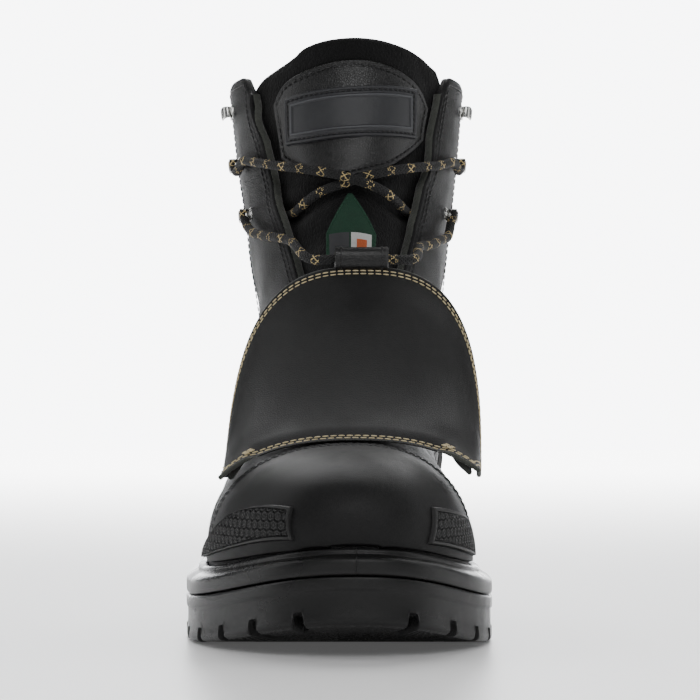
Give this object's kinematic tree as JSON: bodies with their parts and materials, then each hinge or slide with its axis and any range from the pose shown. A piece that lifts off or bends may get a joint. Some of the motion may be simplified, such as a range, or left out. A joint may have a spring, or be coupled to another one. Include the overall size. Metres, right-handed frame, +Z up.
{
  "type": "metatarsal guard boot",
  "caption": "Lace-up leather work boot with a stitched guard over the instep, moulded toe bumpers and a thick lugged rubber sole.",
  "frame": {"origin": "centre of the boot's footprint box, on the floor that it stands on", "axes": "+X towards the medial side, +Y from toe to heel, +Z up"},
  "size_m": [0.1209, 0.312, 0.2501],
  "materials": {
    "outsole_rubber": "satin moulded black rubber",
    "midsole_rubber": "satin moulded black rubber",
    "footbed_fabric": "matte knitted cover",
    "black_leather": "matte black leather, faint grain",
    "smooth_leather": "smooth black leather, low sheen",
    "tongue_cloth": "matte black napped cloth",
    "badge_rubber": "moulded black rubber, bare",
    "patch_fabric": "woven green patch, bare",
    "guard_felt": "grey felt lining",
    "hook_steel": "bright nickel-plated steel",
    "lace_cord": "round braided black cord with tan flecks"
  },
  "bodies": {
    "root": {"outsole": "outsole_rubber", "midsole": "midsole_rubber", "insole": "footbed_fabric", "upper": "black_leather", "toe_cap": "smooth_leather", "heel_counter": "black_leather", "backstay": "black_leather", "eyestay_lateral": "black_leather", "eyestay_medial": "black_leather", "tongue": "tongue_cloth", "tongue_panel": "smooth_leather", "tongue_badge": "badge_rubber", "tongue_patch": "patch_fabric", "bumper_lateral": "outsole_rubber", "bumper_medial": "outsole_rubber", "guard": "black_leather", "guard_lining": "guard_felt", "guard_keeper": "smooth_leather", "hook_lateral_1": "hook_steel", "hook_lateral_2": "hook_steel", "hook_lateral_3": "hook_steel", "hook_medial_1": "hook_steel", "hook_medial_2": "hook_steel", "hook_medial_3": "hook_steel", "lace_crossing": "lace_cord", "lace_keeper_run": "lace_cord"}
  },
  "joints": []
}
